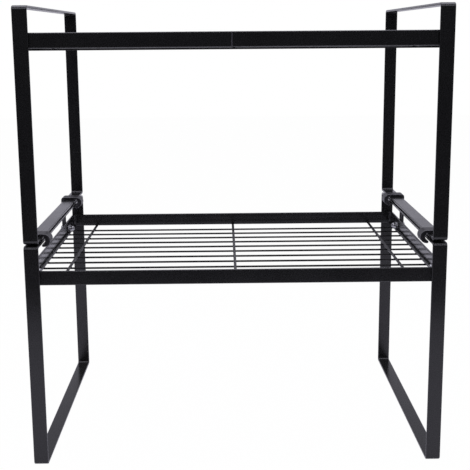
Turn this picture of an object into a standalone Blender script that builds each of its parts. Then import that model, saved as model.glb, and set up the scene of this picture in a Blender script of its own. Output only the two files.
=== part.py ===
# Two-tier countertop organizer.
#
# Two equal tiers stand one on the other. A tier is two closed end frames of bent flat bar
# and a rimmed shelf of welded wires between them. Four moulded connectors clip over the
# stacked bars, and a screw and a nut fasten each one to the lower shelf's rim.
#
# Metres, +Z up. X is the width, Y the depth from front to back, and the origin lies
# under the middle of the organizer, on the surface that it stands on.

from math import cos, pi, sin

import bmesh
import bpy
from mathutils import Matrix

# One tier
tier_width = 0.400
tier_depth = 0.306
tier_height = 0.2195

# End frames: flat bar bent the easy way into a closed loop
bar_width = 0.014
bar_thickness = 0.0024
bar_edge_round = 0.0009
frame_bend_radius = 0.004

# Shelf rim: flat bar on edge
rim_height = 0.014
rim_thickness = 0.0024
rim_edge_round = 0.0009
rim_bend_radius = 0.006
rim_drop = 0.0267

# Shelf wires
long_wire_diameter = 0.002
long_wire_count = 11
cross_wire_diameter = 0.0028
cross_wire_setback = 0.0315

# Connectors between the tiers
connector_length = 0.016
connector_wall = 0.0028
connector_corner = 0.003
connector_edge_round = 0.0003
web_thickness = 0.0012
web_reach = 0.010
nose_reach = 0.0073
lip_reach = 0.0009
strap_thickness = 0.0024
strap_below_screw = 0.007
strap_end_radius = 0.005
front_connector_setback = 0.0322
rear_connector_setback = 0.0566

# Screws and cap nuts of the connectors
screw_drop = 0.0045
screw_diameter = 0.004
screw_head_diameter = 0.0075
screw_head_height = 0.0022
screw_head_rim = 0.0005
screw_in_nut = 0.0052
screw_tip_bevel = 0.0005
socket_width = 0.0025
socket_depth = 0.0014
nut_width = 0.007
nut_hexagon_height = 0.0032
nut_height = 0.008
nut_dome_diameter = 0.0065
nut_face_diameter = 0.0066
nut_bar_diameter = 0.009
nut_bevel = 0.0007
nut_bore_depth = 0.0062

# Gap between pieces that touch, and how far a cutter runs past what it cuts
seat_gap = 0.0003
cut_overrun = 0.002

# Smoothness of round shapes
bend_steps = 6
edge_steps = 2
nose_steps = 14
wire_sides = 12
hole_sides = 16
screw_sides = 20
dome_steps = 4
round_profile = 0.5
hexagon_sides = 6
right_angle = pi / 2
sharp_angle = pi / 6

# What follows from the sizes above
stack_gap = web_thickness + 2 * seat_gap
tier_pitch = tier_height + stack_gap
rim_top = tier_height - rim_drop
rim_bottom = rim_top - rim_height
rim_depth = tier_depth - 2 * (bar_thickness + seat_gap)
rim_inner_depth = rim_depth - 2 * rim_thickness
long_wire_level = rim_bottom + long_wire_diameter / 2
cross_wire_level = long_wire_level + (long_wire_diameter + cross_wire_diameter) / 2 + seat_gap
screw_level = rim_top - screw_drop
hole_diameter = screw_diameter + 2 * seat_gap
connector_places = {
    "front": front_connector_setback - tier_depth / 2,
    "rear": tier_depth / 2 - rear_connector_setback,
}
sides = {"left": -1, "right": 1}


def clear_scene():
    for item in list(bpy.data.objects):
        bpy.data.objects.remove(item)


def make_material(name, colour, roughness, metallic):
    material = bpy.data.materials.new(name)
    material.use_nodes = True
    shader = material.node_tree.nodes["Principled BSDF"]
    shader.inputs["Base Color"].default_value = (*colour, 1)
    shader.inputs["Roughness"].default_value = roughness
    shader.inputs["Metallic"].default_value = metallic
    return material


def black_coating():
    """Satin black powder coat on the bent bars."""
    return make_material("black_coating", (0.018, 0.018, 0.021), 0.42, 0)


def wire_coating():
    """The same powder coat, a little thinner and shinier on the wires."""
    return make_material("wire_coating", (0.021, 0.021, 0.024), 0.36, 0)


def black_plastic():
    """Moulded black nylon of the connectors."""
    return make_material("black_plastic", (0.026, 0.026, 0.029), 0.48, 0)


def zinc_plate():
    """Bright zinc plate on the screws and nuts."""
    return make_material("zinc_plate", (0.62, 0.62, 0.60), 0.30, 1)


def make_empty(name, level):
    empty = bpy.data.objects.new(name, None)
    empty.location.z = level
    bpy.context.scene.collection.objects.link(empty)
    return empty


def make_mesh(name, shape):
    """Turn a bmesh into a mesh with smooth faces and sharp corners."""
    bmesh.ops.recalc_face_normals(shape, faces=shape.faces)
    mesh = bpy.data.meshes.new(name)
    shape.to_mesh(mesh)
    shape.free()
    mesh.shade_smooth()
    mesh.set_sharp_from_angle(angle=sharp_angle)
    return mesh


def place(name, mesh, material, parent, location=(0, 0, 0), rotation=(0, 0, 0)):
    """Add a named piece to the scene, carried by its parent."""
    piece = bpy.data.objects.new(name, mesh)
    piece.location = location
    piece.rotation_euler = rotation
    piece.parent = parent
    if not mesh.materials:
        mesh.materials.append(material)
    bpy.context.scene.collection.objects.link(piece)
    return piece


def place_cutter(name, mesh, parent, location=(0, 0, 0), rotation=(0, 0, 0)):
    cutter = bpy.data.objects.new(name, mesh)
    cutter.location = location
    cutter.rotation_euler = rotation
    cutter.parent = parent
    cutter.hide_render = True
    cutter.display_type = "WIRE"
    bpy.context.scene.collection.objects.link(cutter)
    return cutter


def cut(piece, cutter):
    modifier = piece.modifiers.new("cut_" + cutter.name, "BOOLEAN")
    modifier.operation = "DIFFERENCE"
    modifier.solver = "EXACT"
    modifier.object = cutter


def keep_inside(piece, cutter):
    modifier = piece.modifiers.new("inside_" + cutter.name, "BOOLEAN")
    modifier.operation = "INTERSECT"
    modifier.solver = "EXACT"
    modifier.object = cutter


def even_shading(piece):
    """Shade the wide flat faces flat and only the narrow bends round."""
    modifier = piece.modifiers.new("even_shading", "WEIGHTED_NORMAL")
    modifier.keep_sharp = True


def arc(centre, radius, start, end, steps):
    """Points on a circle's arc, both ends included."""
    angles = [start + (end - start) * step / steps for step in range(steps + 1)]
    return [(centre[0] + radius * cos(angle), centre[1] + radius * sin(angle)) for angle in angles]


def rounded_rectangle(width, height, radius):
    """Outline round the origin, with its four corners bent to one radius."""
    across = width / 2 - radius
    up = height / 2 - radius
    corners = [(across, up), (-across, up), (-across, -up), (across, -up)]
    points = []
    for turn, corner in enumerate(corners):
        start = turn * right_angle
        points += arc(corner, radius, start, start + right_angle, bend_steps)
    return points


def add_outline(shape, points):
    """Closed ring of edges in the XY plane."""
    corners = [shape.verts.new((x, y, 0)) for x, y in points]
    ends = corners[1:] + corners[:1]
    return [shape.edges.new(pair) for pair in zip(corners, ends)]


def extrude_up(shape, height):
    """Thicken the flat faces into a solid centred on the XY plane."""
    bmesh.ops.translate(shape, verts=shape.verts, vec=(0, 0, -height / 2))
    raised = bmesh.ops.extrude_face_region(shape, geom=list(shape.faces), use_keep_orig=True)
    lifted = [item for item in raised["geom"] if isinstance(item, bmesh.types.BMVert)]
    bmesh.ops.translate(shape, verts=lifted, vec=(0, 0, height))
    bmesh.ops.recalc_face_normals(shape, faces=shape.faces)


def round_end_edges(shape, size, steps=1):
    """Break the edges along the solid's two flat ends."""
    shape.normal_update()
    ends = [face for face in shape.faces if abs(face.normal.z) > cos(sharp_angle)]
    edges = {edge for face in ends for edge in face.edges}
    rims = [edge for edge in edges if edge.calc_face_angle(0) > sharp_angle]
    bmesh.ops.bevel(
        shape,
        geom=rims,
        offset=size,
        segments=steps,
        profile=round_profile,
        affect="EDGES",
    )


def bent_bar_loop(name, loop, bar):
    """Flat bar bent into a closed rounded rectangle and butt welded.

    The loop is (width, height, outer bend radius), the bar (thickness, breadth, edge radius).
    """
    width, height, bend_radius = loop
    thickness, breadth, edge_round = bar
    shape = bmesh.new()
    outer = add_outline(shape, rounded_rectangle(width, height, bend_radius))
    inner_width = width - 2 * thickness
    inner_height = height - 2 * thickness
    inner_radius = bend_radius - thickness
    inner = add_outline(shape, rounded_rectangle(inner_width, inner_height, inner_radius))
    bmesh.ops.bridge_loops(shape, edges=outer + inner)
    extrude_up(shape, breadth)
    round_end_edges(shape, edge_round, edge_steps)
    return make_mesh(name, shape)


def prism(sides_round, corner_radius, length):
    """Straight bar along local Z, with its corners on a circle."""
    shape = bmesh.new()
    bmesh.ops.create_cone(
        shape,
        cap_ends=True,
        segments=sides_round,
        radius1=corner_radius,
        radius2=corner_radius,
        depth=length,
    )
    return shape


def rod(name, diameter, length, sides_round):
    return make_mesh(name, prism(sides_round, diameter / 2, length))


def hexagon_bar(width_across_flats, length):
    corner_radius = width_across_flats / 2 / cos(pi / hexagon_sides)
    return prism(hexagon_sides, corner_radius, length)


def connector_outline():
    """Section across the stacked bars, as (inward, up) from their outer edges and mid gap.

    A strap runs down outside, a thin web parts the two bars, the top plate covers the
    upper bar, and a half-round nose hooks past the inner edges to a lip under the lower bar.
    """
    slot_height = stack_gap / 2 + bar_thickness + seat_gap
    nose_radius = slot_height + connector_wall
    nose_centre = bar_width + nose_reach - nose_radius
    strap_bottom = screw_level - tier_height - stack_gap / 2 - strap_below_screw
    strap_outside = -seat_gap - strap_thickness
    corner_centre = (strap_outside + connector_corner, nose_radius - connector_corner)
    lip_centre = (bar_width - lip_reach + connector_wall / 2, -slot_height - connector_wall / 2)
    points = [(-seat_gap, strap_bottom), (strap_outside, strap_bottom)]
    points += arc(corner_centre, connector_corner, pi, right_angle, bend_steps)
    points += arc((nose_centre, 0), nose_radius, right_angle, -right_angle, nose_steps)
    points += arc(lip_centre, connector_wall / 2, -right_angle, -3 * right_angle, bend_steps)
    points += arc((nose_centre, 0), slot_height, -right_angle, right_angle, nose_steps)
    points += [(-seat_gap, slot_height)]
    points += [(-seat_gap, web_thickness / 2), (web_reach, web_thickness / 2)]
    points += [(web_reach, -web_thickness / 2), (-seat_gap, -web_thickness / 2)]
    return points


def connector_mesh():
    """The section drawn out along the bars, with the strap's foot rounded."""
    shape = bmesh.new()
    add_outline(shape, connector_outline())
    bmesh.ops.contextual_create(shape, geom=list(shape.edges))
    extrude_up(shape, connector_length)
    foot_level = min(corner.co.y for corner in shape.verts)
    foot = [edge for edge in shape.edges if is_foot_corner(edge, foot_level)]
    bmesh.ops.bevel(
        shape,
        geom=foot,
        offset=strap_end_radius,
        segments=bend_steps,
        profile=round_profile,
        affect="EDGES",
    )
    round_end_edges(shape, connector_edge_round)
    bmesh.ops.transform(shape, matrix=Matrix.Rotation(right_angle, 4, "X"), verts=shape.verts)
    return make_mesh("connector", shape)


def is_foot_corner(edge, foot_level):
    """True for the strap's two bottom corner edges, which run through its thickness."""
    first, second = (corner.co for corner in edge.verts)
    return first.y == foot_level and second.y == foot_level and first.z == second.z


def spin_profile(shape, points):
    """Turn a profile of (radius, height) points round local Z."""
    corners = [shape.verts.new((radius, 0, height)) for radius, height in points]
    edges = [shape.edges.new(pair) for pair in zip(corners[:-1], corners[1:])]
    bmesh.ops.spin(
        shape,
        geom=corners + edges,
        cent=(0, 0, 0),
        axis=(0, 0, 1),
        angle=2 * pi,
        steps=screw_sides,
        use_merge=True,
    )
    bmesh.ops.remove_doubles(shape, verts=shape.verts, dist=seat_gap / screw_sides)


def screw_grip():
    """Length of the screw under its head: strap, rim and the end inside the nut."""
    return strap_thickness + rim_thickness + 3 * seat_gap + screw_in_nut


def screw_shape():
    """Button head above local Z zero, shank below it."""
    shape = bmesh.new()
    head_radius = screw_head_diameter / 2
    shank_radius = screw_diameter / 2
    dome = screw_head_height - screw_head_rim
    flat_radius = head_radius - dome
    tip = -screw_grip()
    points = [(0, screw_head_height)]
    points += [
        (flat_radius + x, screw_head_rim + y)
        for x, y in arc((0, 0), dome, right_angle, 0, dome_steps)
    ]
    points += [(head_radius, 0), (shank_radius, 0), (shank_radius, tip + screw_tip_bevel)]
    points += [(shank_radius - screw_tip_bevel, tip), (0, tip)]
    spin_profile(shape, points)
    return shape


def turned_nut_shape():
    """Cap nut as turned from round bar: its dome touches local Z zero, its bore opens on top."""
    shape = bmesh.new()
    dome_radius = nut_dome_diameter / 2
    face_radius = nut_face_diameter / 2
    bar_radius = nut_bar_diameter / 2
    bore_radius = hole_diameter / 2
    shoulder = nut_height - nut_hexagon_height
    points = arc((0, dome_radius), dome_radius, -right_angle, 0, dome_steps)
    points += [(dome_radius, shoulder), (face_radius, shoulder)]
    points += [(bar_radius, shoulder + nut_bevel), (bar_radius, nut_height - nut_bevel)]
    points += [(face_radius, nut_height), (bore_radius, nut_height)]
    points += [(bore_radius, nut_height - nut_bore_depth), (0, nut_height - nut_bore_depth)]
    spin_profile(shape, points)
    return shape


def nut_hexagon_shape():
    """Hexagon bar that leaves the nut's six flats."""
    shape = hexagon_bar(nut_width, nut_height + 2 * cut_overrun)
    bmesh.ops.translate(shape, verts=shape.verts, vec=(0, 0, nut_height / 2))
    return shape


def socket_shape():
    """Hexagon prism that leaves the screw's socket."""
    depth = socket_depth + cut_overrun
    shape = hexagon_bar(socket_width, depth)
    middle = screw_head_height - socket_depth + depth / 2
    bmesh.ops.translate(shape, verts=shape.verts, vec=(0, 0, middle))
    return shape


def fastener_places(distance):
    """Name, location and turn of each screw's axis, that far out, with local Z pointing out."""
    return [
        (place_name + "_" + name, (side * distance, depth, screw_level), (0, side * right_angle, 0))
        for name, side in sides.items()
        for place_name, depth in connector_places.items()
    ]


def add_end_frames(level, tier, coating):
    """The two closed loops that a tier stands on."""
    mesh = bent_bar_loop(
        "end_frame",
        (tier_depth, tier_height, frame_bend_radius),
        (bar_thickness, bar_width, bar_edge_round),
    )
    for name, side in sides.items():
        across = side * (tier_width - bar_width) / 2
        location = (across, 0, tier_height / 2)
        upright = (right_angle, 0, right_angle)
        frame = place(level + "_" + name + "_end_frame", mesh, coating, tier, location, upright)
        even_shading(frame)


def add_shelf_rim(level, tier, coating):
    """The rim that lies between the legs, drilled for a connector's screws."""
    mesh = bent_bar_loop(
        level + "_shelf_rim",
        (tier_width, rim_depth, rim_bend_radius),
        (rim_thickness, rim_height, rim_edge_round),
    )
    rim = place(level + "_shelf_rim", mesh, coating, tier, (0, 0, screw_level))
    for cutter in add_screw_holes(level, tier):
        cut(rim, cutter)
    even_shading(rim)


def add_screw_holes(level, tier):
    """Long round cutters across the tier, one on each pair of screws."""
    reach = tier_width + 2 * (seat_gap + strap_thickness + cut_overrun)
    mesh = rod("screw_hole", hole_diameter, reach, hole_sides)
    across = (0, right_angle, 0)
    return [
        place_cutter(level + "_" + name + "_screw_holes", mesh, tier, (0, depth, screw_level), across)
        for name, depth in connector_places.items()
    ]


def add_long_wires(level, tier, coating):
    """Thin wires from side rail to side rail, level with the rim's lower edge."""
    length = tier_width - 2 * (rim_thickness + seat_gap)
    mesh = rod("long_wire", long_wire_diameter, length, wire_sides)
    spacing = rim_inner_depth / (long_wire_count + 1)
    for number in range(1, long_wire_count + 1):
        depth = number * spacing - rim_inner_depth / 2
        name = level + "_long_wire_" + format(number, "02d")
        place(name, mesh, coating, tier, (0, depth, long_wire_level), (0, right_angle, 0))


def add_cross_wires(level, tier, coating):
    """Three thicker wires from front to back, on top of the long wires."""
    mesh = rod("cross_wire", cross_wire_diameter, rim_inner_depth - 2 * seat_gap, wire_sides)
    outer_wire = tier_width / 2 - cross_wire_setback
    places = {"left": -outer_wire, "middle": 0, "right": outer_wire}
    for name, across in places.items():
        location = (across, 0, cross_wire_level)
        place(level + "_" + name + "_cross_wire", mesh, coating, tier, location, (right_angle, 0, 0))


def add_edge_wires(level, tier, coating):
    """A thicker wire along each side rail, over the ends of the long wires.

    It ends where the rim begins to bend.
    """
    mesh = rod("edge_wire", cross_wire_diameter, rim_depth - 2 * rim_bend_radius, wire_sides)
    across = tier_width / 2 - rim_thickness - seat_gap - cross_wire_diameter / 2
    for name, side in sides.items():
        location = (side * across, 0, cross_wire_level)
        place(level + "_" + name + "_edge_wire", mesh, coating, tier, location, (right_angle, 0, 0))


def add_tier(level, height, root, bar_finish, wire_finish):
    """One tier at its height above the counter."""
    tier = make_empty(level + "_tier", height)
    tier.parent = root
    add_end_frames(level, tier, bar_finish)
    add_shelf_rim(level, tier, bar_finish)
    add_long_wires(level, tier, wire_finish)
    add_cross_wires(level, tier, wire_finish)
    add_edge_wires(level, tier, wire_finish)


def add_connectors(root, plastic, holes):
    """Four equal mouldings, the right-hand ones turned half round."""
    middle_of_gap = tier_height + stack_gap / 2
    mesh = connector_mesh()
    for name, side in sides.items():
        turn = (0, 0, 0 if side < 0 else pi)
        for place_name, depth in connector_places.items():
            location = (side * tier_width / 2, depth, middle_of_gap)
            piece = place(place_name + "_" + name + "_connector", mesh, plastic, root, location, turn)
            cut(piece, holes[place_name])
            even_shading(piece)


def add_screws(root, plating):
    """Button-head screws put in from outside, each with a hexagon socket."""
    under_head = tier_width / 2 + strap_thickness + 2 * seat_gap
    mesh = make_mesh("screw", screw_shape())
    socket = make_mesh("socket", socket_shape())
    for name, location, turn in fastener_places(under_head):
        screw = place(name + "_screw", mesh, plating, root, location, turn)
        cut(screw, place_cutter(name + "_socket", socket, root, location, turn))


def add_nuts(root, plating):
    """Cap nuts on the rim's inner side."""
    dome_end = tier_width / 2 - rim_thickness - seat_gap - nut_height
    mesh = make_mesh("nut", turned_nut_shape())
    hexagon = make_mesh("nut_hexagon", nut_hexagon_shape())
    for name, location, turn in fastener_places(dome_end):
        nut = place(name + "_nut", mesh, plating, root, location, turn)
        keep_inside(nut, place_cutter(name + "_nut_hexagon", hexagon, root, location, turn))


def build_organizer():
    clear_scene()
    root = make_empty("organizer", 0)
    bar_finish = black_coating()
    wire_finish = wire_coating()
    plating = zinc_plate()
    add_tier("lower", 0, root, bar_finish, wire_finish)
    add_tier("upper", tier_pitch, root, bar_finish, wire_finish)
    holes = {name: bpy.data.objects["lower_" + name + "_screw_holes"] for name in connector_places}
    add_connectors(root, black_plastic(), holes)
    add_screws(root, plating)
    add_nuts(root, plating)


build_organizer()
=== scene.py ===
# %% [markdown]
# # A two-tier countertop organizer
#
# The real rack is bent from flat steel bar, welded, coated black and stacked: two equal
# tiers, four moulded connectors, four small screws with their nuts. The imported model
# gives the fixed frame that everything here is laid over. Its size is kept from the very
# start.

import bpy
import numpy as np
from mathutils import Matrix, Vector


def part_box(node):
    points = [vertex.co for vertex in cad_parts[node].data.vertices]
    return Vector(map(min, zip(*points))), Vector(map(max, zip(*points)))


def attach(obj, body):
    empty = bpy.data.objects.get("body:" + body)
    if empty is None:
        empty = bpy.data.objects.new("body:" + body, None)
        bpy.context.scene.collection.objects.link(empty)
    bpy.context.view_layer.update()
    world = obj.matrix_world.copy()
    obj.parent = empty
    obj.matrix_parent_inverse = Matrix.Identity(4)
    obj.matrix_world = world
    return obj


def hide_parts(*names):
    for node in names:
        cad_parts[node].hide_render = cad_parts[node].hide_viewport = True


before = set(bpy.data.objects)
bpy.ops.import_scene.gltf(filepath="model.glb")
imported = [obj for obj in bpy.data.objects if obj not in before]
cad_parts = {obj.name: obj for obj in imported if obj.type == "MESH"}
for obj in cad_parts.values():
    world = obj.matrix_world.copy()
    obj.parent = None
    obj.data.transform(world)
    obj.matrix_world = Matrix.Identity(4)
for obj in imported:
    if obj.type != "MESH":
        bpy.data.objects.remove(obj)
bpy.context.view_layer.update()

# %% [markdown]
# ## The camera
#
# A photograph can be matched by moving a camera about by eye, or by solving for the
# place from which the known corners of the object fall on their pixels. Solving is
# surer: here it gave a camera about a metre in front of the rack, at the height of its
# upper shelf, looking down a little. A long lens keeps the legs nearly parallel.

# %% Place the camera
photo_side = 470
focal_pixels = 984.14
sensor_width = 36.0
clip_near, clip_far = 0.05, 50.0
camera_place = Vector((-0.01133, -1.05876, 0.41403))
camera_yaw, camera_pitch, camera_roll = 0.0116, 0.20144, -0.00758


def add_object(name, data):
    """New object with the given data, linked into the scene."""
    thing = bpy.data.objects.new(name, data)
    bpy.context.scene.collection.objects.link(thing)
    return thing


camera_data = bpy.data.cameras.new("photo_camera")
camera_data.sensor_width = sensor_width
camera_data.lens = focal_pixels * sensor_width / photo_side
camera_data.clip_start, camera_data.clip_end = clip_near, clip_far
camera = add_object("photo_camera", camera_data)
aim = (
    Matrix.Rotation(-camera_yaw, 4, "Z")
    @ Matrix.Rotation(np.pi / 2 - camera_pitch, 4, "X")
    @ Matrix.Rotation(camera_roll, 4, "Z")
)
camera.matrix_world = Matrix.Translation(camera_place) @ aim
bpy.context.scene.camera = camera
print("lens in mm:", round(camera_data.lens, 2))

# %% [markdown]
# ## Surfaces from grids
#
# Nearly everything on the rack is a section carried along a path. A closed section with
# S points, set down at R stations, is a grid of R by S points, and its faces join each
# point to its neighbours. The ends may join up into a loop, as on a welded bar, or close
# on a point, as on a rod. Working this out for whole arrays at once keeps it quick, and
# one function can then serve bars, wires, screws and nuts.

# %% Join a grid of points into a closed skin
def skin_faces(stations, around, looped):
    """Quads between each ring of points and the next; the last ring meets the first if looped."""
    ring = np.arange(stations if looped else stations - 1)[:, None] * around
    next_ring = (ring + around) % (stations * around)
    here = np.arange(around)[None, :]
    there = (here + 1) % around
    quads = np.stack([ring + here, ring + there, next_ring + there, next_ring + here], axis=-1)
    return quads.reshape(-1, 4)


def fan_faces(first_ring, around, pole, turned):
    """Triangles from one ring of points to a single pole point."""
    here = first_ring + np.arange(around)
    there = first_ring + (np.arange(around) + 1) % around
    poles = np.full(around, pole)
    order = (there, here, poles) if turned else (here, there, poles)
    return np.stack(order, axis=-1)


def enclosed_volume(points, faces):
    """Signed volume of a closed skin: the sum over its triangles of a . (b x c) / 6."""
    total = 0.0
    for group in faces:
        first = points[group[:, 0]]
        for step in range(1, group.shape[1] - 1):
            second, third = points[group[:, step]], points[group[:, step + 1]]
            total += np.einsum("ij,ij->i", first, np.cross(second, third)).sum() / 6
    return total


def closed_skin(points, faces):
    """Points and faces with every face turned outwards."""
    if enclosed_volume(points, faces) < 0:
        faces = [group[:, ::-1] for group in faces]
    return points, faces


def loop_skin(grid):
    """A grid of points closed both ways, like a ring."""
    stations, around = grid.shape[:2]
    return closed_skin(grid.reshape(-1, 3), [skin_faces(stations, around, True)])


def rod_skin(grid):
    """A grid closed round each ring, its two ends drawn in to their middle points."""
    stations, around = grid.shape[:2]
    last = stations * around
    middles = np.stack([grid[0].mean(axis=0), grid[-1].mean(axis=0)])
    points = np.concatenate([grid.reshape(-1, 3), middles])
    ends = [
        fan_faces(0, around, last, True),
        fan_faces(last - around, around, last + 1, False),
    ]
    return closed_skin(points, [skin_faces(stations, around, False), np.concatenate(ends)])


def join_skins(skins):
    """Several closed skins as one set of points and faces."""
    points, quads, triangles, count = [], [], [], 0
    for skin_points, faces in skins:
        points.append(skin_points)
        for group in faces:
            (quads if group.shape[1] == 4 else triangles).append(group + count)
        count += len(skin_points)
    faces = [np.concatenate(groups) for groups in (quads, triangles) if groups]
    return np.concatenate(points), faces


# %% [markdown]
# A finished skin becomes an object that sits at the origin, with its place in its mesh,
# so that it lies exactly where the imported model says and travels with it. Each piece
# names the finish it takes and the model's solid that it stands for, if there is one.

# %% Turn a skin into a piece of the rack
sharp_angle = np.radians(40)
made = []


def skin_mesh(name, skin):
    """Mesh with the points and faces of a skin."""
    points, faces = skin
    mesh = bpy.data.meshes.new(name)
    polygons = [tuple(face) for group in faces for face in group.tolist()]
    mesh.from_pydata(points.tolist(), [], polygons)
    return mesh


def shade(mesh):
    """Smooth shading that keeps the edges sharper than the sharp angle."""
    mesh.shade_smooth()
    mesh.set_sharp_from_angle(angle=sharp_angle)


def add_piece(name, skin, finish, stands_for=(), worn=0.0):
    """Mesh object from a closed skin. The worn values, 0 to 1, mark the edges that the finish
    paints paler: wear, and on the connectors partly painted highlight.
    """
    mesh = skin_mesh(name, skin)
    wear = mesh.attributes.new("worn", "FLOAT", "POINT")
    wear.data.foreach_set("value", np.full(len(mesh.vertices), worn))
    mesh.materials.append(finish)
    mesh.update()
    shade(mesh)
    piece = add_object(name, mesh)
    shading = piece.modifiers.new("even_shading", "WEIGHTED_NORMAL")
    shading.keep_sharp = True
    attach(piece, "root")
    if stands_for:
        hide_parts(*stands_for)
    made.append(name)
    return piece


# %% [markdown]
# ## Shader maths
#
# A finish is a chain of small sums on noise patterns. Wiring those sums node by node
# hides what they say, so one small class wraps a socket and lets Python's own operators
# add the nodes. Everything else comes from a single method that makes any node, and a
# few short ones on top of it name the nodes that the finishes share.

# %% Wrap sockets so that shader maths reads like maths
class Signal:
    """One output socket, with plain arithmetic."""

    def __init__(self, graph, socket):
        self.graph = graph
        self.socket = socket

    def combine(self, operation, first, second):
        """One maths node on two values or signals."""
        return self.graph.node("ShaderNodeMath", {"operation": operation}, {0: first, 1: second})

    def __add__(self, other):
        return self.combine("ADD", self, other)

    def __sub__(self, other):
        return self.combine("SUBTRACT", self, other)

    def __rsub__(self, other):
        return self.combine("SUBTRACT", other, self)

    def __mul__(self, other):
        return self.combine("MULTIPLY", self, other)

    __radd__ = __add__
    __rmul__ = __mul__


class Graph:
    """The node tree of a finish or of the world."""

    def __init__(self, owner):
        owner.use_nodes = True
        self.tree = owner.node_tree
        self.tree.nodes.clear()

    def node(self, kind, settings, sockets, output=0):
        """Make a node, set it up, then fill its sockets with values or links."""
        made_node = self.tree.nodes.new(kind)
        for name, value in settings.items():
            setattr(made_node, name, value)
        for name, value in sockets.items():
            if isinstance(value, Signal):
                self.tree.links.new(value.socket, made_node.inputs[name])
            else:
                made_node.inputs[name].default_value = value
        return None if output is None else Signal(self, made_node.outputs[output])

    def coordinates(self):
        """Places in metres, in the piece's own space."""
        return self.node("ShaderNodeTexCoord", {}, {}, "Object")

    def noise(self, place, size, detail=2.0, roughness=0.5):
        """Soft noise whose blotches are about the given size across, in metres."""
        sockets = {"Vector": place, "Scale": 1 / size, "Detail": detail, "Roughness": roughness}
        return self.node("ShaderNodeTexNoise", {}, sockets, "Fac")

    def spread(self, signal, low, high):
        """0 below low, 1 above high, smooth between them."""
        settings = {"interpolation_type": "SMOOTHSTEP", "clamp": True}
        sockets = {"Value": signal, "From Min": low, "From Max": high}
        return self.node("ShaderNodeMapRange", settings, sockets)

    def blend(self, share, first, second):
        """Mix two colours by a share."""
        settings = {"data_type": "RGBA"}
        return self.node("ShaderNodeMix", settings, {0: share, 6: first, 7: second}, 2)

    def mottle(self, share, colour, darker, paler):
        """A colour that wanders by a share between two brightnesses of itself."""
        return self.blend(share, opaque(colour, darker), opaque(colour, paler))

    def attribute(self, name):
        """A value from 0 to 1 that each point of a mesh carries."""
        return self.node("ShaderNodeAttribute", {"attribute_name": name}, {}, "Fac")

    def part(self, place, letter):
        """The X, Y or Z of a place or direction."""
        return self.node("ShaderNodeSeparateXYZ", {}, {0: place}, letter)

    def is_ray(self, kind):
        """1 for rays of the kind, 0 for others."""
        return self.node("ShaderNodeLightPath", {}, {}, kind)

    def relief(self, height, depth):
        """Normals of a skin whose height, 0 to 1, spans the depth in metres."""
        sockets = {"Strength": 1.0, "Distance": depth, "Height": height}
        return self.node("ShaderNodeBump", {}, sockets)

    def surface(self, shader):
        """End the tree in a shader."""
        self.node("ShaderNodeOutputMaterial", {}, {"Surface": shader}, None)

    def principled(self, colour, roughness, normal, others):
        """Finish with one Principled surface; others holds the rest of its sockets."""
        sockets = {"Base Color": colour, "Roughness": roughness, "Normal": normal}
        self.surface(self.node("ShaderNodeBsdfPrincipled", {}, sockets | others))


def opaque(colour, brightness=1.0):
    """Red, green and blue times a brightness, with full cover."""
    return tuple(brightness * part for part in colour) + (1.0,)


def start_finish(name):
    """A new material, its graph, and the places that its patterns read."""
    finish = bpy.data.materials.new(name)
    graph = Graph(finish)
    return finish, graph, graph.coordinates()


# %% [markdown]
# ## Black powder coat
#
# The bars are sprayed with dry black powder that melts into a satin skin. Close up it is
# not flat: it has the soft dimples known as orange peel, its gloss comes and goes over a
# few centimetres, it draws thin over bent edges, and fine dust settles in it. A bump from
# millimetre noise gives the dimples, broad noise moves the roughness, and the edges that
# each mesh marks as worn are a little lighter and smoother.

# %% Make the coated finishes
drift_size, scuff_size, dust_size = 0.035, 0.006, 0.0011
scuff_from, scuff_to, dust_from, dust_to = 0.35, 0.75, 0.66, 0.80
coat_darker, coat_paler = 0.85, 1.15
dust_colour, dust_share, dust_height = (0.16, 0.16, 0.17), 0.10, 0.2
least_wear, drift_gloss, dust_gloss, edge_gloss = 0.35, 0.10, 0.10, 0.05


def coated_finish(name, colour, edge_colour, roughness, peel_size, peel_depth, shine=0.5):
    """Satin coat: dimples of the given size and depth in metres over a dark colour."""
    finish, graph, place = start_finish(name)
    peel = graph.noise(place, peel_size, detail=3.0, roughness=0.55)
    drift = graph.noise(place, drift_size)
    specks = graph.noise(place, dust_size, detail=1.0)
    dust = graph.spread(specks, dust_from, dust_to)
    rubs = graph.noise(place, scuff_size, detail=4.0, roughness=0.7)
    scuffs = graph.spread(rubs, scuff_from, scuff_to)
    edge = graph.attribute("worn") * (least_wear + (1 - least_wear) * scuffs)
    body = graph.mottle(drift, colour, coat_darker, coat_paler)
    dusty = graph.blend(dust_share * dust, body, opaque(dust_colour))
    tinted = graph.blend(edge, dusty, opaque(edge_colour))
    gloss = roughness + drift_gloss * (drift - 0.5) + dust_gloss * dust - edge_gloss * edge
    relief = graph.relief(peel + dust_height * dust, peel_depth)
    graph.principled(tinted, gloss, relief, {"Specular IOR Level": shine})
    return finish


bar_coat = coated_finish(
    "bar_coat",
    colour=(0.0108, 0.0109, 0.0106),
    edge_colour=(0.026, 0.026, 0.026),
    roughness=0.22,
    peel_size=0.0016,
    peel_depth=0.000009,
)
wire_coat = coated_finish(
    "wire_coat",
    colour=(0.0060, 0.0060, 0.0059),
    edge_colour=(0.016, 0.016, 0.016),
    roughness=0.32,
    peel_size=0.0011,
    peel_depth=0.000008,
    shine=0.18,
)
print("finishes:", bar_coat.name, wire_coat.name)
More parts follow.
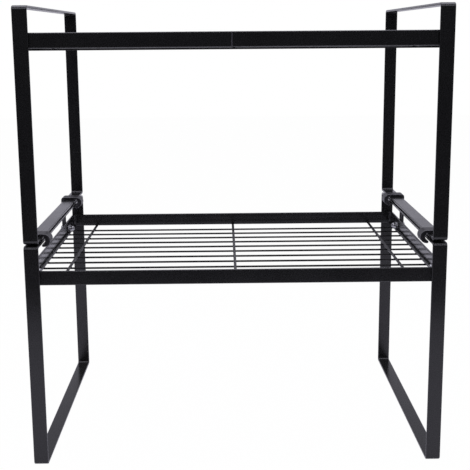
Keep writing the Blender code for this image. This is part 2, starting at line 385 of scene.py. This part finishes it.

# %% [markdown]
# ## Moulded nylon and zinc
#
# The connectors come out of a spark-eroded mould, which leaves a fine even grain that is
# duller than the coat. Their edges are painted paler: partly wear, partly a painted
# highlight for the light lines along them. The screws and nuts are zinc plated: a bright
# metal whose plating is slightly cloudy, with fine marks in it.

# %% Make the nylon and the zinc
nylon_colour, nylon_darker, nylon_paler = (0.016, 0.0158, 0.017), 0.85, 1.2
# Paler edge colour: partly wear, partly a painted highlight along the connector's edges.
nylon_wear_and_highlight, nylon_wear_and_highlight_share = (0.19, 0.187, 0.20), 0.7
nylon_shine, nylon_gloss, flow_gloss, grain_gloss = 0.5, 0.43, 0.10, 0.08
flow_size, grain_size, grain_depth = 0.009, 0.00045, 0.00002


def moulded_finish(name):
    """Fine-grained dark plastic, its edges painted paler: partly wear, partly painted highlight.
    """
    finish, graph, place = start_finish(name)
    grain = graph.noise(place, grain_size, roughness=0.6)
    flow = graph.noise(place, flow_size)
    body = graph.mottle(flow, nylon_colour, nylon_darker, nylon_paler)
    # Edges painted paler: partly wear, partly painted highlight.
    edge = nylon_wear_and_highlight_share * graph.attribute("worn")
    tinted = graph.blend(edge, body, opaque(nylon_wear_and_highlight))
    gloss = nylon_gloss + flow_gloss * (flow - 0.5) + grain_gloss * (grain - 0.5)
    relief = graph.relief(grain, grain_depth)
    graph.principled(tinted, gloss, relief, {"Specular IOR Level": nylon_shine})
    return finish


dull_zinc, bright_zinc = (0.34, 0.345, 0.36), (0.50, 0.50, 0.495)
zinc_gloss, cloud_gloss = 0.22, 0.16
cloud_size, mark_size, mark_depth = 0.0018, 0.0003, 0.00001


def plated_finish(name):
    """Bright zinc plate, cloudy in places."""
    finish, graph, place = start_finish(name)
    cloud = graph.noise(place, cloud_size, detail=3.0, roughness=0.6)
    marks = graph.noise(place, mark_size)
    tinted = graph.blend(cloud, opaque(dull_zinc), opaque(bright_zinc))
    gloss = zinc_gloss + cloud_gloss * cloud
    graph.principled(tinted, gloss, graph.relief(marks, mark_depth), {"Metallic": 1.0})
    return finish


nylon = moulded_finish("nylon")
zinc = plated_finish("zinc")
print("finishes:", nylon.name, zinc.name)

# %% [markdown]
# ## The end frames
#
# Each end frame starts as a straight flat bar, 14 mm wide and 2.4 mm thick, with rolled
# edges. A bender turns four tight corners the easy way, over the bar's thickness, and
# the two ends are welded into a closed loop. A loop can be cut from a plate with a
# boolean, but then the rolled edge has to be bevelled on afterwards. Here the rounded
# section is carried along the loop, so the edge is right everywhere, and the path knows
# how far each corner has turned.

# %% Shape the rounded section of a flat bar
edge_steps = 4
wear_fall = 0.7


def quarter_turns(corners, radius, steps):
    """Points round a convex outline: an arc of the radius about each corner's centre in turn."""
    turn = np.linspace(0, np.pi / 2, steps + 1)
    angles = np.arange(4)[:, None] * np.pi / 2 + turn[None, :]
    circle = np.stack([np.cos(angles), np.sin(angles)], axis=-1)
    return (np.asarray(corners)[:, None, :] + radius * circle).reshape(-1, 2)


def corner_centres(width, height, radius):
    """Centres of the arcs at a rectangle's four corners."""
    across, up = width / 2 - radius, height / 2 - radius
    return [(across, up), (-across, up), (-across, -up), (across, -up)]


def rounded_box_outline(width, height, radius, steps):
    """Rectangle about the origin with its corners rounded to the radius."""
    return quarter_turns(corner_centres(width, height, radius), radius, steps)


def bar_section(thickness, breadth, edge_radius):
    """Flat bar section (through the thickness, across the breadth), and how worn each point is."""
    section = rounded_box_outline(thickness, breadth, edge_radius, edge_steps)
    middle = np.abs(np.linspace(-1, 1, edge_steps + 1))
    wear = np.tile(1 - wear_fall * middle, 4)
    return section, wear


bar_width, bar_thickness, bar_edge = 0.014, 0.0024, 0.0009
flat_section, flat_wear = bar_section(bar_thickness, bar_width, bar_edge)
print("points round the bar's section:", len(flat_section))

# %% Bend a flat bar into a loop
bend_steps, side_points = 14, 24


def bent_path(width, height, radius):
    """Points and outward directions round a rounded rectangle.

    The corners are arcs; the sides between them get evenly spaced points of their own,
    so that no face is stretched too far along the bar.
    """
    centres = corner_centres(width, height, radius)
    points = quarter_turns(centres, radius, bend_steps).reshape(4, -1, 2)
    circle = quarter_turns(np.zeros((4, 2)), 1.0, bend_steps).reshape(4, -1, 2)
    share = np.linspace(0, 1, side_points + 2)[1:-1, None]
    rows, outs = [], []
    for corner in range(4):
        ahead = (corner + 1) % 4
        start, end = points[corner, -1], points[ahead, 0]
        rows += [points[corner], start + (end - start) * share]
        outs += [circle[corner], np.repeat(circle[corner, -1:], side_points, axis=0)]
    return np.concatenate(rows), np.concatenate(outs)


def bar_loop(width, height, bend_radius, section):
    """Grid of a bar loop: (across, up, out of its plane) at each station and section point."""
    thickness = np.ptp(section[:, 0])
    middle_radius = bend_radius - thickness / 2
    path, out = bent_path(width - thickness, height - thickness, middle_radius)
    flat = path[:, None, :] + out[:, None, :] * section[None, :, :1]
    depth = np.broadcast_to(section[None, :, 1:], flat.shape[:2] + (1,))
    return np.concatenate([flat, depth], axis=-1)


# %% Lay the four end frames over the model's
frame_bend = 0.004


def middle_and_size(node):
    """Middle and size of a node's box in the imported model."""
    low, high = (np.array(corner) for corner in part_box(node))
    return (low + high) / 2, high - low


def add_bar(node, grid):
    """Piece of coated bar that stands for a node."""
    wear = np.tile(flat_wear, len(grid))
    return add_piece(node + "_bar", loop_skin(grid), bar_coat, [node], wear)


for level in ("lower", "upper"):
    for side in ("left", "right"):
        node = level + "_" + side + "_end_frame"
        middle, size = middle_and_size(node)
        grid = bar_loop(size[1], size[2], frame_bend, flat_section)
        upright = np.stack([grid[..., 2], grid[..., 0], grid[..., 1]], axis=-1)
        add_bar(node, upright + middle)
print("end frames:", made[-4:])

# %% [markdown]
# ## The shelf rims
#
# The rim is the same kind of bar, stood on edge and bent round the shelf, so that jars
# cannot slide off. It is bent the easy way too: the breadth stands upright and the
# corners are wider. The same loop serves, laid down flat. Only the rim of the lower
# shelf carries screws, but both are drilled alike, because the tiers are equal. A hole
# has no place in a grid, so here a boolean is the better way: plain rods are taken out
# of the finished bar, and the result replaces its mesh.

# %% Lay the two rims over the model's
rim_bend = 0.006
rims = {}
for level in ("lower", "upper"):
    node = level + "_shelf_rim"
    middle, size = middle_and_size(node)
    rims[level] = add_bar(node, bar_loop(size[0], size[1], rim_bend, flat_section) + middle)
print("rims:", made[-2:])

# %% Drill the screw holes
corner_names = [end + "_" + side for end in ("front", "rear") for side in ("left", "right")]
hole_diameter, hole_overrun, turn_points = 0.0046, 0.002, 48
full_turn = np.linspace(0, 2 * np.pi, turn_points, endpoint=False)


def ring_rows(radii, heights, turn):
    """Rings about local Z: each row is a radius (one number or one for each turn) at a height."""
    radii = np.stack([np.broadcast_to(radius, turn.shape) for radius in radii])
    high = np.broadcast_to(np.asarray(heights)[:, None], radii.shape)
    return np.stack([radii * np.cos(turn), radii * np.sin(turn), high], axis=-1)


def lay_along_x(grid, start, towards):
    """Turn local Z into X: start is the point that local zero comes to, towards is 1 or -1."""
    x = towards * grid[..., 2]
    return np.stack([x, grid[..., 0], grid[..., 1]], axis=-1) + np.asarray(start)


def drill(piece, skins):
    """Take closed skins out of a piece for good."""
    cutter = add_object("drill", skin_mesh("drill", join_skins(skins)))
    cutting = piece.modifiers.new("holes", "BOOLEAN")
    cutting.operation, cutting.solver, cutting.object = "DIFFERENCE", "EXACT", cutter
    piece.modifiers.move(1, 0)
    piece.modifiers["even_shading"].show_viewport = False
    bpy.context.view_layer.update()
    done = piece.evaluated_get(bpy.context.evaluated_depsgraph_get())
    drilled = bpy.data.meshes.new_from_object(done)
    piece.modifiers.remove(cutting)
    piece.modifiers["even_shading"].show_viewport = True
    piece.data = drilled
    drilled.name = piece.name
    bpy.data.objects.remove(cutter)
    shade(drilled)


tier_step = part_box("upper_shelf_rim")[0].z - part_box("lower_shelf_rim")[0].z
for level, lift in (("lower", 0.0), ("upper", tier_step)):
    rods = []
    for corner in corner_names:
        middle, size = middle_and_size(corner + "_screw")
        reach = size[0] / 2 + hole_overrun
        straight = ring_rows([hole_diameter / 2] * 2, [-reach, reach], full_turn)
        rods.append(rod_skin(lay_along_x(straight, middle + (0, 0, lift), 1)))
    drill(rims[level], rods)
print("holes in each rim:", len(corner_names))

# %% [markdown]
# ## The shelf wires
#
# Eleven thin wires run from side to side, just under the rim's lower edge. Three thicker
# ones lie over them from front to back, and two more close the gap along the side rails,
# where the coat runs together and comes out as glossy as on the bars. A curve with a
# round bevel would draw a wire too. Here a circle is carried along the wire's axis, as
# the bar's section was along its loop, and a shallow cone sets in the face at each end.

# %% Draw the wires
wire_around, wire_rings, cone_rings, cone_depth = 20, 24, 5, 0.0003


def round_rod(start, end, diameter):
    """Round wire from start to end. A cone, as wide as it is deep, sets in each end face."""
    length = np.linalg.norm(end - start)
    along = (end - start) / length
    side = np.cross(along, (0, 0, 1.0))
    side /= np.linalg.norm(side)
    up = np.cross(side, along)
    cone = cone_depth * (1 - np.sin(np.linspace(0, np.pi / 2, cone_rings)))
    straight = np.linspace(cone_depth, length - cone_depth, wire_rings + 2)[1:-1]
    stations = np.concatenate([cone, straight, length - cone[::-1]])
    radius = diameter / 2 - np.concatenate([cone, np.zeros(wire_rings), cone[::-1]])
    angle = np.linspace(0, 2 * np.pi, wire_around, endpoint=False)
    circle = np.cos(angle)[:, None] * side + np.sin(angle)[:, None] * up
    return start + stations[:, None, None] * along + radius[:, None, None] * circle[None, :, :]


wire_nodes = [name for name in sorted(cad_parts) if "_wire" in name]
for node in wire_nodes:
    middle, size = middle_and_size(node)
    run = np.where(size == size.max(), size, 0) / 2
    grid = round_rod(middle - run, middle + run, size.min())
    finish = bar_coat if "_edge_" in node else wire_coat
    add_piece(node + "_rod", rod_skin(grid), finish, [node])
print("wires:", len(wire_nodes))

# %% [markdown]
# ## The welds
#
# Each wire is spot welded where it meets the rim or another wire. The metal that is
# pressed out there stands as a small soft bead, which the coat covers. The rims are
# welded to the legs with an upright bead along the inner side of each leg. There are
# many of them, so each is a coarse squashed ball, and all of one shelf are one piece.

# %% Lay the weld beads
bead_around, bead_rings = 10, 5


def bead_skin(centre, half_sizes):
    """Squashed ball: points at the half sizes times the sine and cosine of two angles."""
    turn = np.linspace(0, 2 * np.pi, bead_around, endpoint=False)
    rise = np.linspace(-np.pi / 2, np.pi / 2, bead_rings + 2)[1:-1]
    rings = ring_rows(np.cos(rise), np.sin(rise), turn)
    return rod_skin(rings * np.asarray(half_sizes) + np.asarray(centre))


wire_bead = (0.0013, 0.0015, 0.0010)
cross_bead = (0.0019, 0.0013, 0.0013)
crossing_bead = (0.0012, 0.0012, 0.0006)
leg_bead = (0.0007, 0.0006, 0.0052)
leg_bead_sink = 0.0003


def shelf_wires(level, kind):
    """Middles and sizes of one kind of wire in a shelf."""
    names = [node for node in wire_nodes if node.startswith(level) and kind in node]
    return [middle_and_size(node) for node in names]


def end_beads(wires, axis, half_sizes):
    """A bead at both ends of each wire that runs along the axis."""
    skins = []
    for middle, size in wires:
        for towards in (-1, 1):
            end = middle.copy()
            end[axis] += towards * size[axis] / 2
            skins.append(bead_skin(end, half_sizes))
    return skins


def crossing_beads(long_wires, cross_wires):
    """A flat bead in the seam at each crossing."""
    skins = []
    for under, under_size in long_wires:
        for over, _ in cross_wires:
            height = under[2] + under_size[2] / 2
            skins.append(bead_skin((over[0], under[1], height), crossing_bead))
    return skins


def leg_beads(level):
    """Upright beads where the rim passes the four legs, on the inner side of each leg."""
    skins = []
    middle, size = middle_and_size(level + "_shelf_rim")
    for side in ("left", "right"):
        frame_middle, frame_size = middle_and_size(level + "_" + side + "_end_frame")
        inward = -np.sign(frame_middle[0])
        x = frame_middle[0] + inward * (frame_size[0] / 2 + leg_bead_sink)
        for towards in (-1, 1):
            y = towards * (size[1] / 2 + leg_bead_sink)
            skins.append(bead_skin((x, y, middle[2]), leg_bead))
    return skins


for level in ("lower", "upper"):
    long_wires = shelf_wires(level, "long_wire")
    cross_wires = shelf_wires(level, "cross_wire")
    edge_wires = shelf_wires(level, "edge_wire")
    beads = end_beads(long_wires, 0, wire_bead) + end_beads(cross_wires, 1, cross_bead)
    beads += crossing_beads(long_wires, cross_wires + edge_wires) + leg_beads(level)
    add_piece(level + "_shelf_welds", join_skins(beads), wire_coat)
    print(level, "weld beads:", len(beads))

# %% [markdown]
# ## The seam in the upper rim
#
# The rim's bar meets itself in a butt weld near the middle of the front rail. It is ground
# nearly flush before it is coated, so it shows as a faint upright line. A flat strip with
# drawn-in ends, about a tenth of a millimetre proud, stands for it. The coat is thin over
# the ground metal and looks paler there.

# %% Lay the seam
seam_place = -0.0022
seam_width, seam_proud, seam_margin = 0.0010, 0.00012, 0.0006
strip_widths = [0.5, 0.85, 1.0, 1.0, 1.0, 0.85, 0.5]
strip_heights = [-1, -0.98, -0.93, 0, 0.93, 0.98, 1]
seam_coat = coated_finish(
    "seam_coat",
    colour=(0.075, 0.073, 0.080),
    edge_colour=(0.11, 0.11, 0.12),
    roughness=0.34,
    peel_size=0.0008,
    peel_depth=0.00001,
)
middle, size = middle_and_size("upper_shelf_rim")
seam_centre = np.array((seam_place, middle[1] - size[1] / 2, middle[2]))
seam_half_sizes = np.array((seam_width / 2, seam_proud, size[2] / 2 - seam_margin))
strip = ring_rows(strip_widths, strip_heights, full_turn[::4])
seam_skin = rod_skin(strip * seam_half_sizes + seam_centre)
add_piece("upper_rim_seam", seam_skin, seam_coat)
print("seam at x:", seam_place)

# %% [markdown]
# ## The connectors
#
# Each connector is one moulding that clips over the two stacked bars: a strap outside, a
# top plate, a half-round nose with a lip, and a thin web between the bars. Its section is
# the same all along, so it could be one extruded outline. Here the section is held as
# pairs of points, one outside and one inside, because pairs fill the end faces with tidy
# quads too, and let the strap's foot be rounded by a length that depends on the height.

# %% Draw the connector's section in pairs
strap_wall, slot_half, nose_radius = 0.0024, 0.0036, 0.0064
nose_centre, nose_hollow, corner_round, bar_gap = 0.0149, 0.0015, 0.003, 0.0003
web_half, web_end = 0.0006, 0.010
lip_centre, lip_radius = (0.0145, -0.005), 0.0014
foot_round = 0.005
strap_outside = -bar_gap - strap_wall
foot_points, strap_points, above_points, corner_points = 9, 22, 4, 5
plate_points, nose_points, lip_points = 16, 33, 8


def column(x, heights):
    """Points above each other."""
    return np.stack([np.full(len(heights), x), heights], axis=-1)


def level_row(xs, height):
    """Points beside each other."""
    return np.stack([xs, np.full(len(xs), height)], axis=-1)


def arc_points(centre, radius, angles):
    """Centre plus radius times (cosine, sine)."""
    return np.asarray(centre) + radius * np.stack([np.cos(angles), np.sin(angles)], axis=-1)


def strap_heights(foot):
    """Heights up the strap: fine over the rounded foot, then even, with none across the web."""
    bend = np.linspace(0, np.pi / 2, foot_points)
    low = foot + foot_round * (1 - np.cos(bend))
    below = np.linspace(low[-1], -web_half, strap_points)[1:]
    above = np.linspace(web_half, nose_radius - corner_round, above_points)
    return np.concatenate([low, below, above])


def section_pairs(foot):
    """Outside and inside points from the strap's foot over the nose to the lip.

    Outside, the strap's upper corner is one arc. Inside, the same number of points
    goes up the strap and then across, half of them each way.
    """
    up = strap_heights(foot)
    corner = (strap_outside + corner_round, nose_radius - corner_round)
    bend = np.linspace(np.pi, np.pi / 2, 2 * corner_points - 1)[1:]
    rise = np.linspace(up[-1], slot_half, corner_points)[1:]
    across = np.linspace(-bar_gap, corner[0], corner_points)[1:]
    plate = np.linspace(corner[0], nose_centre, plate_points)[1:]
    nose = np.linspace(np.pi / 2, -np.pi / 2, nose_points)[1:]
    hollow_x = nose_centre + nose_hollow * np.cos(nose)
    lip = np.linspace(0, np.pi / 2, lip_points)[:-1]
    outside = [
        column(strap_outside, up),
        arc_points(corner, corner_round, bend),
        level_row(plate, nose_radius),
        arc_points((nose_centre, 0), nose_radius, nose),
        arc_points(lip_centre, lip_radius, -np.pi / 2 - lip),
    ]
    inside = [
        column(-bar_gap, up),
        column(-bar_gap, rise),
        level_row(across, slot_half),
        level_row(plate, slot_half),
        np.stack([hollow_x, slot_half * np.sin(nose)], axis=-1),
        arc_points(lip_centre, lip_radius, np.pi / 2 + lip),
    ]
    return np.concatenate(outside), np.concatenate(inside), len(up)


# %% Carry the section along the bars
connector_half, connector_edge = 0.008, 0.0005
web_points, edge_points, length_rows = 12, 5, 11
mitre_floor = 0.6


def outward_mitre(ring):
    """Mitre at each point of a clockwise ring.

    It is the sum of the point's two outward edge normals over half that sum's square.
    The floor keeps it short where the ring turns back on itself.
    """
    ahead = np.roll(ring, -1, axis=0) - ring
    ahead /= np.linalg.norm(ahead, axis=1, keepdims=True)
    normal = np.stack([-ahead[:, 1], ahead[:, 0]], axis=-1)
    both = normal + np.roll(normal, 1, axis=0)
    half_square = 0.5 * (both ** 2).sum(axis=1, keepdims=True)
    return both / np.maximum(half_square, mitre_floor)


def connector_skin(foot):
    """Section rings from front to back: at the ends they shrink along a quarter circle."""
    outside, inside, strap_count = section_pairs(foot)
    web_x = np.linspace(-bar_gap, web_end, web_points)[1:]
    web = [level_row(web_x, web_half), level_row(web_x[::-1], -web_half)]
    above_web = strap_count - above_points
    tip = np.array([[lip_centre[0] - lip_radius, lip_centre[1]]])
    upper_inside, lower_inside = inside[above_web:], inside[:above_web]
    ring = np.concatenate([outside, tip, upper_inside[::-1], *web, lower_inside[::-1]])
    pairs, around = len(outside), len(ring)
    outer = np.arange(pairs)
    upper_inner = pairs + 1 + np.arange(pairs - above_web)[::-1]
    top = pairs + 1 + (pairs - above_web) + np.arange(len(web_x))
    bottom = top[-1] + 1 + np.arange(len(web_x))[::-1]
    lower_inner = around - 1 - np.arange(above_web)
    inner = np.concatenate([lower_inner, upper_inner])
    cap = np.stack([outer[:-1], outer[1:], inner[1:], inner[:-1]], axis=-1)
    web_in = np.concatenate([[inner[above_web]], top])
    web_out = np.concatenate([[inner[above_web - 1]], bottom])
    web_cap = np.stack([web_in[:-1], web_in[1:], web_out[1:], web_out[:-1]], axis=-1)
    cap = np.concatenate([cap, web_cap])
    tip_cap = np.array([[outer[-1], pairs, inner[-1]]])
    depth = np.clip((ring[:, 1] - foot) / foot_round, 0, 1)
    half = connector_half - foot_round + foot_round * np.sqrt(1 - (1 - depth) ** 2)
    turn = np.linspace(0, np.pi / 2, edge_points)
    shrink = connector_edge * (1 - np.sin(turn))
    back_off = connector_edge * (1 - np.cos(turn))
    middle_rows = np.linspace(-1, 1, length_rows + 2)[1:-1]
    inset = np.concatenate([shrink, np.zeros(length_rows), shrink[::-1]])
    flat = ring[None] - inset[:, None, None] * outward_mitre(ring)[None]
    front = -(half[None] - back_off[:, None])
    length = middle_rows[:, None] * (half - connector_edge)[None]
    y = np.concatenate([front, length, -front[::-1]])
    # Marks the end rounds that the nylon paints paler: partly wear, partly painted highlight.
    wear = np.concatenate([np.sin(2 * turn), np.zeros(length_rows), np.sin(2 * turn)])
    stations = len(inset)
    last = (stations - 1) * around
    faces = [
        np.concatenate([skin_faces(stations, around, False), cap[:, ::-1], cap + last]),
        np.concatenate([tip_cap[:, ::-1], tip_cap + last]),
    ]
    points = np.stack([flat[..., 0], y, flat[..., 1]], axis=-1)
    return points.reshape(-1, 3), faces, np.repeat(wear, around)


mid_gap = (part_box("lower_left_end_frame")[1].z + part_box("upper_left_end_frame")[0].z) / 2
outer_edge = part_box("lower_right_end_frame")[1].x
for corner in corner_names:
    low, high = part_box(corner + "_connector")
    side = np.sign(low.x + high.x)
    points, faces, wear = connector_skin(low.z - mid_gap)
    points = points * (-side, 1, 1) + (side * outer_edge, (low.y + high.y) / 2, mid_gap)
    node, skin = corner + "_connector", closed_skin(points, faces)
    add_piece(node + "_moulding", skin, nylon, [node], wear)
print("connectors:", made[-4:])

# %% [markdown]
# ## The screws and cap nuts
#
# A button-head screw with a hexagon socket goes in from outside, through strap and rim,
# into a cap nut. Both are turned shapes with some six-sided parts. In polar form a
# hexagon is the half width over the cosine of the angle from the nearest flat, so one
# grid can pass from round to six-sided: its rows only change their radius. Where the
# turned chamfer is smaller than the hexagon, the smaller radius is the one that is left,
# which gives a nut its curved corners.

# %% Turn the screws
def hexagon_radius(width, turn):
    """Half the width across flats over the cosine of the angle from the nearest flat."""
    return width / 2 / np.cos((turn % (np.pi / 3)) - np.pi / 6)


shank_radius, tip_bevel = 0.002, 0.0005
head_height, head_rim, head_bevel, dome_points = 0.0022, 0.0005, 0.0002, 9
socket_width, socket_mouth, socket_depth = 0.0025, 0.00015, 0.0014
socket_flare, socket_taper = 1.12, 0.98


def screw_grid(length, head_diameter):
    """Rings from the tip over the shank, head and dome down into the socket."""
    head, tip, dome = head_diameter / 2, head_height - length, head_height - head_rim
    rise = np.linspace(0, np.pi / 2, dome_points)
    socket = hexagon_radius(socket_width, full_turn)
    radii = [shank_radius - tip_bevel, shank_radius, shank_radius, head - head_bevel, head]
    heights = [tip, tip + tip_bevel, 0.0, 0.0, head_bevel]
    radii += list(head - dome + dome * np.cos(rise))
    heights += list(head_rim + dome * np.sin(rise))
    radii += [socket * socket_flare, socket, socket * socket_taper]
    heights += [head_height, head_height - socket_mouth, head_height - socket_depth]
    return ring_rows(radii, heights, full_turn)


# %% Turn the nuts and place them with the screws
crown_radius, crown_start, crown_points = 0.00325, 0.12, 10
hexagon_height, turned_radius, bore_depth = 0.0032, 0.0045, 0.0062
chamfer_radius, chamfer_height, chamfer_points = 0.0033, 0.0007, 7


def nut_grid(height, width):
    """Rings from the crown over the dome, the chamfered hexagon and down into the bore."""
    shoulder, bore = height - hexagon_height, hole_diameter / 2
    rise = np.linspace(crown_start, np.pi / 2, crown_points)
    chamfer = np.linspace(0, 1, chamfer_points)
    wider = (turned_radius - chamfer_radius) * chamfer
    turned = [crown_radius * np.sin(angle) for angle in rise] + [crown_radius]
    heights = [crown_radius * (1 - np.cos(angle)) for angle in rise] + [shoulder]
    turned += list(chamfer_radius + wider) + list(turned_radius - wider)
    heights += list(shoulder + chamfer_height * chamfer)
    heights += list(height - chamfer_height + chamfer_height * chamfer)
    flats = hexagon_radius(width, full_turn)
    radii = [np.minimum(radius, flats) for radius in turned] + [bore, bore]
    return ring_rows(radii, heights + [height, height - bore_depth], full_turn)


for corner in corner_names:
    middle, size = middle_and_size(corner + "_screw")
    side = np.sign(middle[0])
    head_top = middle + (side * size[0] / 2, 0, 0)
    grid = screw_grid(size[0], size[1]) - (0, 0, head_height)
    skin = rod_skin(lay_along_x(grid, head_top, side))
    add_piece(corner + "_screw_turned", skin, zinc, [corner + "_screw"])
    middle, size = middle_and_size(corner + "_nut")
    crown = middle - (side * size[0] / 2, 0, 0)
    skin = rod_skin(lay_along_x(nut_grid(size[0], size[2]), crown, side))
    add_piece(corner + "_nut_turned", skin, zinc, [corner + "_nut"])
print("screws and nuts:", made[-8:])

# %% [markdown]
# ## The studio
#
# The photograph is a cut-out on white, lit by a large soft light from above and behind,
# with the room dark on the camera's side. A black coat shows little colour of its own:
# what shapes it is what it mirrors. So the world is bright behind and dark in front, and
# only camera rays see it and the floor as plain white, with a faint shadow. One wide lamp
# hangs above the rack, and a weak strip in front lights the edges that face the camera.

# %% Lay the floor
floor_front, floor_back, floor_half_width = -0.67, 4, 3
room_tint, plain_white = (0.89, 0.875, 1.0), (1.0, 1.0, 1.0)
paint_colour, white_share = (0.80, 0.79, 0.84), 0.99
near_mirror, far_mirror_gain, mirror_from, mirror_to = 0.45, 0.17, 0.1, 0.4

floor_mesh = bpy.data.meshes.new("floor")
front_edge = [(-floor_half_width, floor_front, 0), (floor_half_width, floor_front, 0)]
back_edge = [(floor_half_width, floor_back, 0), (-floor_half_width, floor_back, 0)]
floor_mesh.from_pydata(front_edge + back_edge, [], [(0, 1, 2, 3)])
floor = add_object("floor", floor_mesh)

floor_paint = bpy.data.materials.new("floor_paint")
graph = Graph(floor_paint)
seen, mirrored, through = (
    graph.is_ray(kind) for kind in ("Is Camera Ray", "Is Glossy Ray", "Is Transmission Ray")
)
paint = graph.node("ShaderNodeBsdfDiffuse", {}, {"Color": opaque(paint_colour)})
glow_colour = graph.blend(seen, opaque(room_tint), opaque(plain_white))
white = graph.node("ShaderNodeEmission", {}, {"Color": glow_colour, "Strength": 1.0})
distance = graph.spread(graph.part(graph.coordinates(), "Y"), mirror_from, mirror_to)
mirror_share = near_mirror + far_mirror_gain * distance
share = white_share * seen + mirror_share * (mirrored + through)
graph.surface(graph.node("ShaderNodeMixShader", {}, {0: share, 1: paint, 2: white}))
floor_mesh.materials.append(floor_paint)
print("floor from y", floor_front, "to", floor_back)

# %% Light the world
wall_glow, wall_fall, fall_from, fall_to = 0.71, 0.38, 0.20, 0.37
room_glow, room_ends, wall_starts = 0.05, -0.35, 0.30

world = bpy.data.worlds.new("studio")
bpy.context.scene.world = world
graph = Graph(world)
direction = graph.node("ShaderNodeTexCoord", {}, {}, "Generated")
wall = wall_glow - wall_fall * graph.spread(graph.part(direction, "Z"), fall_from, fall_to)
behind = graph.spread(graph.part(direction, "Y"), room_ends, wall_starts)
glow = room_glow + behind * (wall - room_glow)
ray = graph.is_ray("Is Camera Ray")
strength = glow + ray * (1 - glow)
tint = graph.blend(ray, opaque(room_tint), opaque(plain_white))
backdrop = graph.node("ShaderNodeBackground", {}, {"Color": tint, "Strength": strength})
graph.node("ShaderNodeOutputWorld", {}, {"Surface": backdrop}, None)
print("world:", world.name)


# %% Hang the lamps
def add_softbox(name, place, target, width, height, power):
    """Rectangular lamp at a place, turned to a target."""
    data = bpy.data.lights.new(name, "AREA")
    data.shape = "RECTANGLE"
    data.size, data.size_y, data.energy = width, height, power
    data.color = room_tint
    lamp = add_object(name, data)
    lamp.location = place
    aim = (Vector(target) - Vector(place)).to_track_quat("-Z", "Y")
    lamp.rotation_euler = aim.to_euler()
    print("lamp:", name, power, "W")


add_softbox(
    "top_softbox", place=(0, 0, 1.55), target=(0, -0.05, 0.2), width=1.8, height=1.3, power=23.0
)
add_softbox(
    "front_strip", place=(0, -1.25, 1.25), target=(0, 0, 0.3), width=1.6, height=0.4, power=5.0
)
bpy.context.scene.view_settings.view_transform = "Standard"
